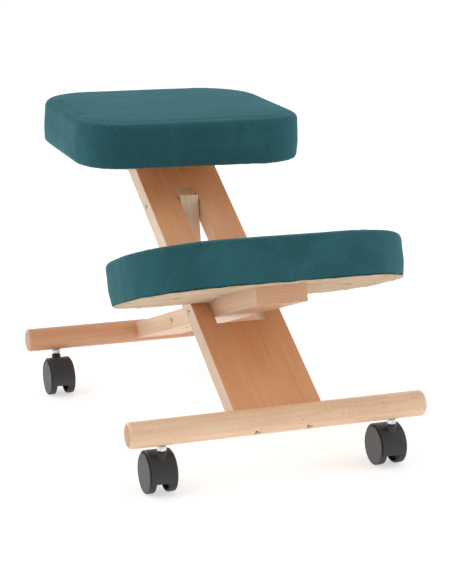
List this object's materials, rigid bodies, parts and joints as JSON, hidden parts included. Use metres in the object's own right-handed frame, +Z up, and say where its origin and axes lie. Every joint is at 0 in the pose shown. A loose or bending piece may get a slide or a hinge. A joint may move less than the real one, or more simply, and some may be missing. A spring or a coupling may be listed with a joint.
{
  "type": "wooden kneeling chair on castors",
  "caption": "Kneeling chair: two crossed beech planks carry a padded seat and a padded knee rest on round rails with twin wheel castors; a slotted prop sets the height.",
  "frame": {"origin": "on the floor, under the middle of the chair's length and width", "axes": "+X to the sitter's left, +Y from the knee pad towards the seat, +Z up"},
  "size_m": [0.458, 0.7053, 0.4985],
  "materials": {
    "beech_rail": "clear lacquered beech",
    "beech_plank": "clear lacquered beech",
    "plywood": "bare birch plywood",
    "foam": "upholstery foam",
    "upholstery": "woven cloth, fine twill",
    "steel_fastener": "zinc plated",
    "castor_plastic": "moulded nylon, satin",
    "castor_cap": "moulded nylon, matt"
  },
  "bodies": {
    "knee_frame": {"knee_beam": "beech_plank", "rear_rail": "beech_rail", "knee_board": "plywood", "knee_foam": "foam", "knee_cover": "upholstery", "knee_board_bolts": "steel_fastener", "knee_tee_nuts": "steel_fastener", "rear_rail_bolts": "steel_fastener", "rear_barrel_nuts": "steel_fastener", "prop_lower_bolt": "steel_fastener", "prop_lower_nut": "steel_fastener", "rear_castor_inserts": "steel_fastener", "rear_left_stem": "steel_fastener", "rear_right_stem": "steel_fastener"},
    "seat_frame": {"seat_beam": "beech_plank", "front_rail": "beech_rail", "seat_board": "plywood", "seat_foam": "foam", "seat_cover": "upholstery", "seat_bearer": "beech_plank", "seat_board_bolts": "steel_fastener", "seat_tee_nuts": "steel_fastener", "seat_board_screws": "steel_fastener", "seat_bearer_screws": "steel_fastener", "front_rail_bolts": "steel_fastener", "front_barrel_nuts": "steel_fastener", "main_pivot_bolt": "steel_fastener", "main_pivot_nut": "steel_fastener", "prop_upper_bolt": "steel_fastener", "prop_upper_nut": "steel_fastener", "front_castor_inserts": "steel_fastener", "front_left_stem": "steel_fastener", "front_right_stem": "steel_fastener"},
    "prop": {"prop_strut": "beech_plank"},
    "front_left_swivel": {"front_left_hood": "castor_plastic", "front_left_axle": "steel_fastener"},
    "front_left_wheel_left": {"front_left_wheel_left": "castor_plastic", "front_left_cap_left": "castor_cap"},
    "front_left_wheel_right": {"front_left_wheel_right": "castor_plastic", "front_left_cap_right": "castor_cap"},
    "front_right_swivel": {"front_right_hood": "castor_plastic", "front_right_axle": "steel_fastener"},
    "front_right_wheel_left": {"front_right_wheel_left": "castor_plastic", "front_right_cap_left": "castor_cap"},
    "front_right_wheel_right": {"front_right_wheel_right": "castor_plastic", "front_right_cap_right": "castor_cap"},
    "rear_left_swivel": {"rear_left_hood": "castor_plastic", "rear_left_axle": "steel_fastener"},
    "rear_left_wheel_left": {"rear_left_wheel_left": "castor_plastic", "rear_left_cap_left": "castor_cap"},
    "rear_left_wheel_right": {"rear_left_wheel_right": "castor_plastic", "rear_left_cap_right": "castor_cap"},
    "rear_right_swivel": {"rear_right_hood": "castor_plastic", "rear_right_axle": "steel_fastener"},
    "rear_right_wheel_left": {"rear_right_wheel_left": "castor_plastic", "rear_right_cap_left": "castor_cap"},
    "rear_right_wheel_right": {"rear_right_wheel_right": "castor_plastic", "rear_right_cap_right": "castor_cap"}
  },
  "joints": [
    {"name": "main_pivot", "type": "hinge", "parent": "knee_frame", "child": "seat_frame", "pos_m": [0, -0.10523, 0.21287], "axis": [1, 0, 0], "range_deg": [-13, 0]},
    {"name": "prop_hinge", "type": "hinge", "parent": "seat_frame", "child": "prop", "pos_m": [0, 0.09388, 0.34012], "axis": [1, 0, 0], "range_deg": [0, 0.6]},
    {"name": "front_left_swivel", "type": "hinge", "parent": "seat_frame", "child": "front_left_swivel", "pos_m": [-0.1791, -0.2983, 0.06], "axis": [0, 0, 1], "continuous": true},
    {"name": "front_left_wheel_left_spin", "type": "hinge", "parent": "front_left_swivel", "child": "front_left_wheel_left", "pos_m": [-0.1946, -0.2823, 0.0293], "axis": [1, 0, 0], "continuous": true},
    {"name": "front_left_wheel_right_spin", "type": "hinge", "parent": "front_left_swivel", "child": "front_left_wheel_right", "pos_m": [-0.1636, -0.2823, 0.0293], "axis": [1, 0, 0], "continuous": true},
    {"name": "front_right_swivel", "type": "hinge", "parent": "seat_frame", "child": "front_right_swivel", "pos_m": [0.1791, -0.2983, 0.06], "axis": [0, 0, 1], "continuous": true},
    {"name": "front_right_wheel_left_spin", "type": "hinge", "parent": "front_right_swivel", "child": "front_right_wheel_left", "pos_m": [0.1636, -0.2823, 0.0293], "axis": [1, 0, 0], "continuous": true},
    {"name": "front_right_wheel_right_spin", "type": "hinge", "parent": "front_right_swivel", "child": "front_right_wheel_right", "pos_m": [0.1946, -0.2823, 0.0293], "axis": [1, 0, 0], "continuous": true},
    {"name": "rear_left_swivel", "type": "hinge", "parent": "knee_frame", "child": "rear_left_swivel", "pos_m": [-0.1791, 0.2567, 0.06], "axis": [0, 0, 1], "continuous": true},
    {"name": "rear_left_wheel_left_spin", "type": "hinge", "parent": "rear_left_swivel", "child": "rear_left_wheel_left", "pos_m": [-0.1946, 0.2407, 0.0293], "axis": [1, 0, 0], "continuous": true},
    {"name": "rear_left_wheel_right_spin", "type": "hinge", "parent": "rear_left_swivel", "child": "rear_left_wheel_right", "pos_m": [-0.1636, 0.2407, 0.0293], "axis": [1, 0, 0], "continuous": true},
    {"name": "rear_right_swivel", "type": "hinge", "parent": "knee_frame", "child": "rear_right_swivel", "pos_m": [0.1791, 0.2567, 0.06], "axis": [0, 0, 1], "continuous": true},
    {"name": "rear_right_wheel_left_spin", "type": "hinge", "parent": "rear_right_swivel", "child": "rear_right_wheel_left", "pos_m": [0.1636, 0.2407, 0.0293], "axis": [1, 0, 0], "continuous": true},
    {"name": "rear_right_wheel_right_spin", "type": "hinge", "parent": "rear_right_swivel", "child": "rear_right_wheel_right", "pos_m": [0.1946, 0.2407, 0.0293], "axis": [1, 0, 0], "continuous": true}
  ],
  "couplings": [
    {"joint": "prop_hinge", "follows": "main_pivot", "ratio": -0.045}
  ]
}
